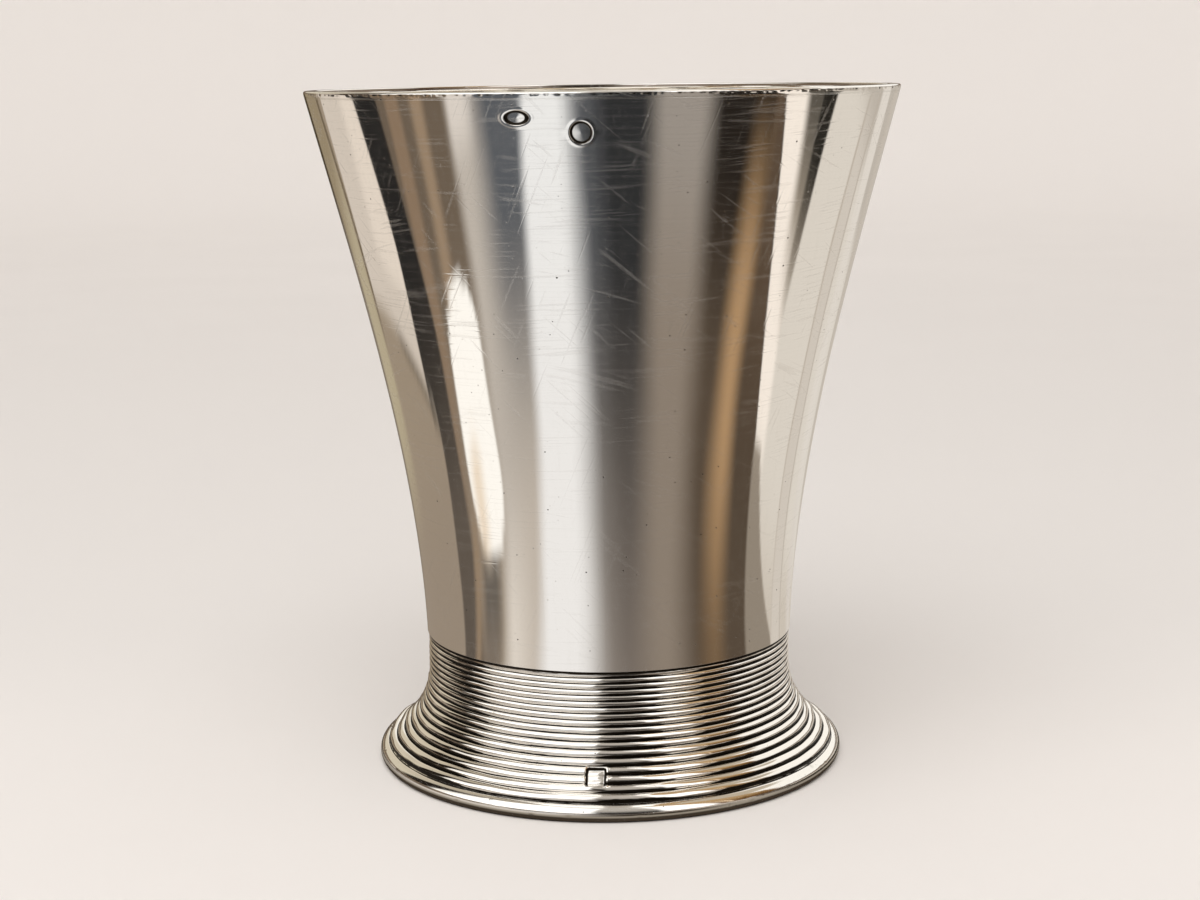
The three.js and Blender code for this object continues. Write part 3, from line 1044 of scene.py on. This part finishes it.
@dataclass
class Seams:
    """The hard-solder seams between the pieces, in millimetres.

    Attributes:
        cup: The cup that they hold together.
        foot: The foot that they join to it.
        lip_fillet: Fillet under the lip wire's overhang.
        floor_fillet: Fillet on the floor's flange.
        spigot_fillet: Fillet inside the foot, under the floor.
        wire_fillet: Fillet on the foot wire's rebate.
        ease: How far the edges of a seam are cut back.
        drawback: Mean depth by which the solder has drawn back.
    """

    cup: Cup
    foot: Foot
    lip_fillet: float = 0.3
    floor_fillet: float = 0.7
    spigot_fillet: float = 0.8
    wire_fillet: float = 0.5
    ease: float = 0.003
    drawback: float = 0.003

    def build(self) -> Built:
        """Builds the five seams.

        Returns:
            The seams, each with the slot of its finish.
        """
        seams = [
            self.seam("lip_solder_seam", self.lip(), 0.0),
            self.seam("floor_solder_seam", self.floor(), 0.35),
            # The neck seam is painted fully dark: painted shade under the wall's lower edge
            self.seam("neck_solder_seam", self.neck(), 1.0),
            self.seam("spigot_solder_seam", self.spigot(), 0.4),
            self.seam("foot_wire_solder_seam", self.wire(), 0.5),
        ]
        return [(seam, "hard_solder") for seam in seams]

    def seam(self, name: str, outline: Sequence[Pair], tarnish_and_shade: float) -> bpy.types.Object:
        """One seam.

        Args:
            name: Name of the object.
            outline: Corners of radius and height, up the outside first.
            tarnish_and_shade: Mean patina and painted shade, from 0 to 1.

        Returns:
            The outline carried round, sunk by a sum of sines where the solder has drawn back.
        """
        piece = Turning(eased(np.array(outline), self.ease), azimuths(720))
        turn = np.radians(piece.azimuth)[None, :]
        drawn = (np.sin(9 * turn + 1) + np.sin(23 * turn + 2) + np.sin(57 * turn)) / 3
        piece.relief -= self.drawback * (1 + drawn)
        piece.tarnish_and_shade += tarnish_and_shade * (1 + 0.2 * drawn)
        return piece.ring(name)

    def lip(self) -> list[Pair]:
        """Outline of the film on the wall's top edge, with a fillet under the overhang.

        Returns:
            Its corners as radius and height.
        """
        low, high = self.cup.wall_top, self.cup.lip_wire_foot
        inside = self.cup.shape.inside(low)
        start = low - self.lip_fillet
        outside = self.cup.shape.outside
        return [(outside(low), low), (outside(high), high), (inside - self.cup.lip_overhang, high),
                (self.cup.shape.inside(start), start), (inside, low)]

    def floor(self) -> list[Pair]:
        """Outline of the hollow fillet on top of the flange, against the wall.

        Returns:
            Its corners as radius and height.
        """
        low = self.cup.flange_top
        high = low + self.floor_fillet
        inside = self.cup.shape.inside(low)
        hollow = self.floor_fillet / 3
        return [(inside, low), (self.cup.shape.inside(high), high), (inside - hollow, low + hollow),
                (inside - self.floor_fillet, low)]

    def neck(self) -> list[Pair]:
        """Outline of the film between the wall's lower edge and the foot's shoulder.

        Returns:
            Its corners as radius and height.
        """
        low, high = self.foot.height, self.foot.height + self.foot.film
        inner, outer = self.foot.spigot_outside, self.foot.neck_radius
        return [(inner, low), (outer, low), (outer, high), (inner, high)]

    def spigot(self) -> list[Pair]:
        """Outline of the film under the floor, with a fillet inside the foot.

        Returns:
            Its corners as radius and height.
        """
        low, high = self.foot.spigot_top, self.cup.floor_seat
        inner, outer = self.foot.spigot_inside, self.foot.spigot_outside
        return [(inner, low), (outer, low), (outer, high), (inner - self.spigot_fillet, high),
                (inner, low - self.spigot_fillet)]

    def wire(self) -> list[Pair]:
        """Outline of the film along the foot's edge, with a fillet on the rebate.

        Returns:
            Its corners as radius and height.
        """
        foot = self.foot
        sweep = math.radians(foot.cove_sweep)
        across = np.array([foot.film * math.sin(sweep), -foot.film * math.cos(sweep)])
        outer = foot.line(foot.length, 0.0)
        inner = foot.line(foot.length, -foot.sheet)
        shorter = foot.length - self.wire_fillet * foot.cove_radius / (foot.cove_radius + foot.sheet)
        rise = foot.seat[1] - foot.wire_centre[1]
        rebate = foot.wire_centre[0] - math.sqrt(foot.wire_radius**2 - rise**2)
        seat = inner + across
        ledge = (max(seat[0] - self.wire_fillet, rebate), seat[1])
        fillet = foot.line(shorter, -foot.sheet)
        return [tuple(corner) for corner in (fillet, ledge, seat, outer + across, outer, inner)]


def linear(colour: Colour) -> np.ndarray:
    """Linear light of a screen colour from 0 to 255: a power curve of 2.4 with a straight foot."""
    share = np.asarray(colour, float) / 255
    return np.where(share <= 0.04045, share / 12.92, ((share + 0.055) / 1.055) ** 2.4)


MIDDLE = 110.0  # the tent's middle distance, in millimetres, at which the edges of a card are given
FAR = 1e6  # a distance past the tent, in millimetres
ALL_ROUND: Pair = (-400, 400)  # edges, in degrees, that lie past a full turn


@dataclass(frozen=True)
class Card:
    """A reflecting card, flag or gap in the light tent, given by azimuth and by distance on the table.

    Attributes:
        near: Screen colour at the near end, past 255 where it is brighter than white.
        far: Screen colour at the far end.
        left: Azimuth of the left edge, in degrees, at the tent's middle distance.
        right: Azimuth of the right edge.
        soft: Softness of the left and right edges, in degrees, which grows towards the beaker.
        lean: Degrees that each edge moves as the distance grows by the factor e.
        reach: Nearest and furthest distance of the card, in millimetres.
        fade: Softness of the near and far ends, in powers of e.
        skew: Powers of e that the near end moves for each degree to the right.
        turn: Distances between which the near colour turns into the far one, in millimetres.
    """

    near: Colour
    far: Colour
    left: float
    right: float
    soft: Pair = (3.0, 3.0)
    lean: Pair = (0.0, 0.0)
    reach: Pair = (1.0, 1e6)
    fade: Pair = (0.2, 0.2)
    skew: float = 0.0
    turn: Pair = (75.0, 170.0)

    def lay(self, glow: np.ndarray, azimuth: np.ndarray, distance: np.ndarray) -> np.ndarray:
        """Lays the card over what the tent shows so far.

        Args:
            glow: Light of the tent, as linear colours.
            azimuth: Azimuths in degrees.
            distance: Distances in millimetres.

        Returns:
            The light with the card over it: soft steps at its four edges multiplied together.
        """
        depth = np.log(distance / MIDDLE)
        left = self.left + self.lean[0] * depth
        right = self.right + self.lean[1] * depth
        blur = np.exp(-0.8 * depth) / 2
        cover = smoothstep(left - self.soft[0] * blur, left + self.soft[0] * blur, azimuth)
        cover = cover * (1 - smoothstep(right - self.soft[1] * blur, right + self.soft[1] * blur, azimuth))
        start, end = np.log(np.array(self.reach) / MIDDLE)
        start = start + self.skew * (azimuth - (self.left + self.right) / 2)
        cover = cover * smoothstep(start - self.fade[0] / 2, start + self.fade[0] / 2, depth)
        cover = cover * (1 - smoothstep(end - self.fade[1] / 2, end + self.fade[1] / 2, depth))
        share = smoothstep(*np.log(np.array(self.turn) / MIDDLE), depth)[..., None]
        tone = linear(self.near) * (1 - share) + linear(self.far) * share
        return glow * (1 - cover[..., None]) + tone * cover[..., None]


@dataclass(frozen=True)
class Panel:
    """A bright window with rounded corners in the light tent.

    Attributes:
        colour: Screen colour.
        azimuth: Azimuth of its middle, in degrees.
        distance: Distance of its middle, in millimetres.
        half_width: Half of its width, in degrees.
        half_length: Half of its length, in degrees of the tent's plan.
        corner: Radius of its corners, in degrees.
        lean: Degrees that it moves round as the distance grows by the factor e.
        bow: Degrees that its ends bend to the right at the factor e from its middle.
        soft: Softness of its edge, in degrees.
    """

    colour: Colour
    azimuth: float
    distance: float
    half_width: float
    half_length: float
    corner: float
    lean: float
    bow: float
    soft: float

    def lay(self, glow: np.ndarray, azimuth: np.ndarray, distance: np.ndarray) -> np.ndarray:
        """Lays the window over what the tent shows so far.

        Args:
            glow: Light of the tent, as linear colours.
            azimuth: Azimuths in degrees.
            distance: Distances in millimetres.

        Returns:
            The light with the window over it, by the distance from a rounded rectangle.
        """
        depth = np.log(distance / self.distance)
        side = azimuth - self.azimuth - self.lean * depth - self.bow * depth**2
        half = (self.half_width, self.half_length)
        edge = rounded_edge(side, np.degrees(depth), half, self.corner)
        cover = (1 - smoothstep(-self.soft / 2, self.soft / 2, edge))[..., None]
        return glow * (1 - cover) + linear(self.colour) * cover


def even(colour: Colour, *edges: Any, **ends: Any) -> Card:
    """Card of one colour throughout."""
    return Card(colour, colour, *edges, **ends)


# Ends of the cards on the shaded table beside the foot, and of those for the room over it
SHADED: dict[str, Pair] = {"reach": (1, 46), "fade": (0.2, 0.5)}
ROOM: dict[str, Pair] = {"reach": (1.0, 245.0), "fade": (0.2, 0.06)}

TENT_CARDS: tuple[Card | Panel, ...] = (
    # Pale cloth all round
    Card((200, 189, 174), (216, 207, 194), *ALL_ROUND, turn=(70.0, 110.0)),
    # Left of the camera: taupe and olive cloth, a cream sheet with a seam beside it, and a black flag
    Card((149, 134, 117), (153, 137, 117), -174, -88, (14, 3), (0, -12)),
    Card((176, 162, 134), (146, 130, 104), -174, -131, (14, 10), (0, -6), (140, FAR), (0.7, 0.2),
         turn=(300.0, 520.0)),
    Card((124, 112, 97), (66, 54, 38), -174, -152, (14, 16), (0, -3), turn=(400.0, 900.0)),
    even((104, 91, 74), -116, -94, (10, 2), (0, -6), (139, FAR), (0.06, 0.2), -0.0165),
    Card((192, 176, 156), (206, 193, 178), -134, -92, (3, 2), (0, -6), (166, FAR), (0.12, 0.2),
         -0.0165),
    Card((214, 198, 178), (224, 210, 194), -116, -92, (16, 2), (0, -6), (172, FAR), (0.12, 0.2),
         -0.0165),
    even((108, 94, 74), -130.8, -128.6, (1.4, 1.4), (-6, -6), (215, FAR), (0.3, 0.2)),
    Card((146, 131, 113), (106, 92, 77), -91, -50, (3, 6), (-12, 0)),
    Card((137, 119, 100), (136, 114, 92), -84, -78, (4, 5), (-4, -3)),
    Card((139, 122, 104), (150, 128, 104), -73, -68, (6, 6), (-2, -1), turn=(75.0, 130.0)),
    Card((94, 84, 74), (38, 36, 34), -93.2, -82, (1.6, 2.4), (-13.0, -12.0), turn=(78.0, 175.0)),
    Card((62, 56, 50), (38, 36, 34), -97.8, -90, (1.6, 2.0), (-4.0, -9.0), (124, FAR), (0.16, 0.2),
         turn=(120.0, 175.0)),
    even((94, 84, 74), -93.2, -82.5, (1.6, 4.0), (-13.0, -21.0), (1, 96), (0.2, 0.3)),
    # Front left: pale and slate gaps, brown and grey under a window, and a long white strip
    Card((228, 218, 205), (187, 177, 165), -57, -20, (8, 9), (-3, 0), turn=(66.0, 98.0)),
    even((216, 206, 195), -58, -48, (5, 6), (0, 0), (174, FAR), (0.16, 0.2)),
    Card((190, 178, 164), (88, 90, 93), -46.5, -20, (18, 6), (-1, 0), turn=(80.0, 148.0)),
    even((146, 125, 102), -77.5, -73.5, (3, 3), (0, 0), (1, 90), (0.2, 0.15)),
    Card((122, 110, 97), (102, 94, 85), -71, -60, (4, 5), (0, 0), (1, 83), (0.2, 0.1),
         turn=(64.0, 78.0)),
    Panel((255, 249, 239), -66.6, 106.5, 9.6, 15.2, 9.6, -13, 25, 1.6),
    Panel((236, 218, 195), -68.8, 92, 3.0, 6.0, 3.0, -14, 20, 6.0),
    Card((236, 232, 227), (235, 233, 229), -32.4, 5, (6.5, 6), (6.5, 0)),
    # Front right: slate, warm grey, and a gold card on a brown one
    Card((150, 141, 131), (84, 85, 87), -9.6, 30, (15, 6), (-6, 0), turn=(60.0, 140.0)),
    Card((117, 107, 98), (46, 46, 46), -1, 30, (16, 6), (-3, 0), turn=(60.0, 130.0)),
    Card((138, 125, 111), (152, 143, 133), 18.5, 55, (14, 6), turn=(105.0, 175.0)),
    Card((86, 73, 60), (37, 32, 27), 40, 80.5, (15, 1.0), (0, -16), turn=(100.0, 168.0)),
    Card((78, 66, 54), (88, 72, 57), 66, 80, (6, 3), (0, -16), reach=(90, FAR), fade=(0.5, 0.2)),
    Card((118, 95, 70), (172, 138, 100), 54.8, 64.9, (11, 9), (6, 3), (1, 164), (0.2, 0.6),
         turn=(64.0, 105.0)),
    # Right: pale cloth with a dark wedge, a bright strip, a grey corner and two folds
    even((244, 232, 218), 80.5, 88, (1.0, 4), (-16, 0), (105, FAR), (0.2, 0.2)),
    Card((150, 138, 122), (88, 82, 73), 84.6, 85.4, (8, 1.4), (-5, 13), (160, FAR), (0.3, 0.2),
         turn=(165.0, 235.0)),
    Card((150, 138, 122), (40, 37, 32), 84.2, 85.4, (3, 1.4), (6, 13), (150, FAR), (0.3, 0.2),
         turn=(140.0, 215.0)),
    Card((143, 131, 116), (150, 138, 122), 80.5, 84, (2, 1.6), (0, -42), (1, 107), (0.2, 0.05)),
    Card((206, 196, 183), (205, 195, 182), 110.5, 122.4, (1.6, 6), (9, 6.5)),
    Card((196, 185, 171), (184, 172, 157), 110.0, 111.2, (0.9, 0.9), (9, 9)),
    Card((192, 182, 168), (186, 176, 163), 92, 170, (10, 10), (0, 0), (350, FAR), (0.35, 0.2)),
    even((184, 173, 159), 121.2, 122.4, (0.9, 0.9), (6.5, 6.5)),
    Card((210, 200, 188), (219, 210, 198), 133, 143, (6, 6)),
    Card((204, 194, 181), (190, 179, 165), 150, 162, (7, 9)),
    # The shaded table beside the foot
    even((52, 44, 36), *ALL_ROUND, **SHADED),
    even((206, 196, 184), -82, -8, (22, 10), **SHADED),
    even((184, 174, 160), 32, 50, (12, 12), **SHADED),
    even((150, 140, 126), *ALL_ROUND, reach=(1, 30.6), fade=(0.2, 0.08)),
    even((60, 51, 42), *ALL_ROUND, reach=(1, 28.9), fade=(0.2, 0.03)),
)

# The dome over the tent, where a card's distances are heights over the table
DOME_CARDS: tuple[Card, ...] = (
    Card((252, 246, 236), (190, 180, 166), *ALL_ROUND, turn=(1250.0, 1480.0)),
    Card((206, 194, 171), (176, 164, 144), -172, -104, (60, 24), turn=(600.0, 1350.0)),
    Card((34, 28, 22), (160, 150, 136), -123, -97, (26, 20), turn=(950.0, 1460.0)),
    Card((288, 284, 278), (196, 188, 176), -87, 0, (16, 10), turn=(1380.0, 1490.0)),
    even((310, 296, 268), -83, -81.6, (4, 4), reach=(300.0, 900.0), fade=(0.6, 0.4)),
    Card((46, 44, 42), (180, 172, 162), -9, 30, (24, 10), turn=(400.0, 1300.0)),
    Card((288, 284, 278), (196, 188, 176), 25, 60, (20, 10), turn=(1380.0, 1490.0)),
    Card((112, 80, 44), (182, 150, 108), 52, 88, (22, 20), turn=(420.0, 1300.0)),
    Card((300, 250, 180), (300, 270, 230), 58.5, 60, (6, 6), reach=(300.0, 900.0), fade=(0.6, 0.4)),
    Card((176, 154, 124), (186, 172, 152), 84, 150, (20, 40), reach=(1060.0, FAR), fade=(0.08, 0.2)),
    # The room that shows in the far side of the lip
    even((112, 96, 80), *ALL_ROUND, **ROOM),
    even((168, 152, 137), 25, 58, (40, 40), **ROOM),
    even((146, 131, 117), -44, -4, (40, 40), **ROOM),
    even((52, 44, 38), -6, 22, (40, 40), **ROOM),
    even((70, 52, 40), 70, 95, (40, 40), **ROOM),
)


@dataclass
class Studio:
    """Pale floor and backdrop, soft light, a light tent that only the silver sees, and the camera.

    Attributes:
        floor_radius: Radius of the flat floor, in metres.
        cove: Radius of the curve between floor and backdrop.
        backdrop: Height of the backdrop.
        floor_colour: Colour of floor and backdrop.
        paper_pale: Colour of their paler clouds.
        paper_shade: Colour of painted shade on the floor just behind the beaker.
        paper_far_lit: Colour of the backdrop at the back, paler: painted light.
        sky: Strength of the light from all round.
        sky_colour: Colour of that light.
        box_place: Place of the soft box, in metres.
        box_aim: Where the soft box points.
        box_size: Length of the soft box's sides.
        box_power: Power of the soft box, in watts.
        tent_near: Smallest radius of the tent, in metres.
        tent_radius: Largest radius of the tent.
        tent_drop: How far the tent's bottom lies under the floor.
        tent_columns: Number of columns round the tent.
        beside: Distances just past the foot, in metres, at which the tent is finer.
        horizon: Degrees over the horizon between which the table's cards give way to the dome's.
        reflectance: Share of each colour that the silver sends back.
        camera_place: Camera's place, in metres.
        camera_pitch: Camera's pitch below the horizon, in degrees.
        camera_roll: Camera's roll, in degrees.
        lens: Focal length, in millimetres.
        sensor: Sensor width, in millimetres.
    """

    floor_radius: float = 0.9
    cove: float = 0.5
    backdrop: float = 1.6
    floor_colour: Colour = (0.81, 0.775, 0.745)
    paper_pale: Colour = (0.825, 0.79, 0.76)
    paper_shade: Colour = (0.75, 0.72, 0.692)
    paper_far_lit: Colour = (0.93, 0.895, 0.865)
    sky: float = 0.90
    sky_colour: Colour = (1.0, 0.992, 0.985)
    box_place: Colour = (-0.14, -0.58, 0.92)
    box_aim: Colour = (0.0, 0.0, 0.02)
    box_size: float = 0.9
    box_power: float = 5.9
    tent_near: float = 0.012
    tent_radius: float = 1.5
    tent_drop: float = 0.0002
    tent_columns: int = 900
    beside: Pair = (0.0275, 0.0335)
    horizon: Pair = (0.0, 7.0)
    reflectance: Colour = (0.93, 0.905, 0.865)
    camera_place: Colour = (-0.00078, -0.2545, 0.08283)
    camera_pitch: float = 10.22
    camera_roll: float = -0.76
    lens: float = 64.53
    sensor: float = 36.0

    def build(self) -> None:
        """Builds the studio round the beaker."""
        self.backcloth()
        self.tent()
        self.lights()
        self.camera()

    @staticmethod
    def bowl(name: str, profile: np.ndarray, columns: int) -> bpy.types.Object:
        """An open bowl round the axis, on the stage.

        Args:
            name: Name of the object.
            profile: Rows of radius and height, in metres.
            columns: Number of columns round the bowl.

        Returns:
            The profile carried round: x is radius times the turn's sine, y minus radius times its cosine.
        """
        turn = np.linspace(0, 2 * np.pi, columns, endpoint=False)
        x = profile[:, :1] * np.sin(turn)
        y = -profile[:, :1] * np.cos(turn)
        z = profile[:, 1:] + 0 * turn
        points = np.stack([x, y, z], axis=-1).reshape(-1, 3)
        made = mesh_object(name, points, grid_quads(len(profile), columns, False)[:, ::-1])
        return made

    def backcloth(self) -> None:
        """Floor and backdrop in one sweep: a flat disc, a quarter circle and an upright wall."""
        flat = np.geomspace(0.0005, self.floor_radius, 40)
        angle = np.linspace(0, np.pi / 2, 16)
        out = self.floor_radius + self.cove * np.sin(angle)
        curve = np.stack([out, self.cove * (1 - np.cos(angle))], axis=1)
        wall = [[self.floor_radius + self.cove, self.backdrop]]
        profile = np.concatenate([np.stack([flat, 0 * flat], axis=1), curve[1:], wall])
        cloth = self.bowl("pale_backcloth", profile, 160)
        cloth.visible_glossy = False
        shader = Shader("pale_paper")
        mottle = shader.noise(shader.stretched((14.0, 14.0, 14.0)), 3.0)
        back = shader.reading("ShaderNodeSeparateXYZ", "Y", {"Vector": shader.place})
        # Painted shade on the floor just behind the beaker
        shade_behind = back.step(-0.03, 0.07) * back.step(0.12, 0.7, 1.0, 0.0)
        pale = shader.blend(mottle.step(0.3, 0.7), self.floor_colour, self.paper_pale)
        colour = shader.blend(shade_behind, pale, self.paper_shade)
        # Painted light: floor and backdrop turn paler towards the back
        colour = shader.blend(back.step(0.4, 1.2), colour, self.paper_far_lit)
        values = {"Base Color": colour, "Roughness": 0.9}
        paper = shader.reading("ShaderNodeBsdfPrincipled", "BSDF", values)
        cloth.data.materials.append(shader.finish(paper))

    def tent(self) -> None:
        """Light tent: a disc under the floor and a dome over it, coloured by the cards, for gloss alone."""
        beside = np.linspace(*self.beside, 37)
        disc = np.sort(np.append(np.geomspace(self.tent_near, self.tent_radius, 130), beside))
        rise = np.radians(np.linspace(0, 89.9, 60))
        flat = np.stack([disc, np.full_like(disc, -self.tent_drop)], axis=1)
        dome = self.tent_radius * np.stack([np.cos(rise), np.sin(rise)], axis=1)
        dome[:, 1] -= self.tent_drop
        profile = np.concatenate([flat, dome[1:]])
        tent = self.bowl("light_tent", profile, self.tent_columns)
        turn = np.degrees(np.linspace(0, 2 * np.pi, self.tent_columns, endpoint=False))
        azimuth = ((turn + 180) % 360 - 180)[None, :] + 0 * profile[:, :1]
        reach = np.concatenate([disc, np.full(len(dome) - 1, self.tent_radius)])
        distance = reach[:, None] / MILLIMETRE + 0 * azimuth
        glow = np.zeros((*azimuth.shape, 3))
        for card in TENT_CARDS:
            glow = card.lay(glow, azimuth, distance)
        sky = np.zeros_like(glow)
        height = np.maximum(profile[:, 1:] / MILLIMETRE, 1.0) + 0 * azimuth
        for card in DOME_CARDS:
            sky = card.lay(sky, azimuth, height)
        up = np.degrees(np.arctan2(profile[:, 1], profile[:, 0]))
        share = smoothstep(*self.horizon, up)[:, None, None]
        glow = glow * (1 - share) + sky * share
        light = np.concatenate([glow / self.reflectance, np.ones((*azimuth.shape, 1))], axis=-1)
        layer = tent.data.attributes.new(GLOW, "FLOAT_COLOR", "POINT")
        layer.data.foreach_set("color", light.astype(np.float32).ravel())
        for ray in ("camera", "diffuse", "transmission", "shadow"):
            setattr(tent, f"visible_{ray}", False)
        shader = Shader("tent_light")
        values = {"Color": shader.attribute(GLOW, "Color"), "Strength": 1.0}
        material = shader.finish(shader.reading("ShaderNodeEmission", "Emission", values))
        material.cycles.emission_sampling = "NONE"
        tent.data.materials.append(material)

    def lights(self) -> None:
        """Even light from the sky, and a soft box, hidden from gloss, that gives the floor its shadow."""
        world = bpy.data.worlds.new("soft_sky")
        world.use_nodes = True
        backing = world.node_tree.nodes["Background"]
        backing.inputs["Color"].default_value = (*self.sky_colour, 1.0)
        backing.inputs["Strength"].default_value = self.sky
        bpy.context.scene.world = world
        lamp = bpy.data.lights.new("soft_box_left", "AREA")
        lamp.shape = "SQUARE"
        lamp.size = self.box_size
        lamp.energy = self.box_power
        made = bpy.data.objects.new("soft_box_left", lamp)
        made.location = self.box_place
        aim = Vector(self.box_aim) - Vector(self.box_place)
        made.rotation_euler = aim.to_track_quat("-Z", "Y").to_euler()
        made.visible_glossy = False
        bpy.context.scene.collection.objects.link(made)

    def camera(self) -> None:
        """Camera at the photograph's viewing angle, and plain screen colours."""
        data = bpy.data.cameras.new("camera")
        data.sensor_width = self.sensor
        data.lens = self.lens
        data.clip_start = 0.01
        data.clip_end = 20.0
        made = bpy.data.objects.new("camera", data)
        tilt = Matrix.Rotation(math.radians(90 - self.camera_pitch), 4, "X")
        roll = Matrix.Rotation(math.radians(self.camera_roll), 4, "Z")
        made.matrix_world = Matrix.Translation(self.camera_place) @ tilt @ roll
        scene = bpy.context.scene
        scene.collection.objects.link(made)
        scene.camera = made
        scene.view_settings.view_transform = "Standard"


FINISHES: tuple[SilverFinish, ...] = (
    SilverFinish("wall_silver"),
    SilverFinish("lip_silver", polish=0.06),
    SilverFinish("floor_silver", colour=(0.88, 0.85, 0.79), polish=0.22, haze=0.2),
    SilverFinish("reeded_silver", colour=(0.92, 0.885, 0.83), polish=0.06, scratches=0.3),
    SilverFinish("base_silver", colour=(0.92, 0.89, 0.84), polish=0.08, scratches=0.7),
    SilverFinish("hard_solder", colour=(0.91, 0.885, 0.84), polish=0.05),
)

NODES: dict[str, str] = {
    "cup_wall_polished": "cup_wall",
    "lip_wire_polished": "lip_wire",
    "cup_floor_satin": "cup_floor",
    "reeded_foot_aged_shaded": "reeded_foot",
    "foot_wire_worn_shaded": "foot_wire",
    "lip_solder_seam": "lip_solder",
    "floor_solder_seam": "floor_solder",
    "neck_solder_seam": "neck_solder",
    "spigot_solder_seam": "spigot_solder",
    "foot_wire_solder_seam": "foot_wire_solder",
}


def main() -> None:
    """Builds the pieces in order, gives each its finish and its place in the frame, and sets the stage."""
    logging.basicConfig(level=logging.INFO, format="%(name)s: %(message)s")
    materials = {finish.slot: finish.material() for finish in FINISHES}
    cup = Cup(WallShape())
    foot = Foot()
    for assembly in (cup, foot, Seams(cup, foot)):
        for piece, slot in assembly.build():
            piece.data.materials.append(materials[slot])
            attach(piece, BODY)
            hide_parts(NODES[piece.name])
            log.info("%s: %d faces, %s", piece.name, len(piece.data.polygons), slot)
    Studio().build()


if __name__ == "__main__":
    main()
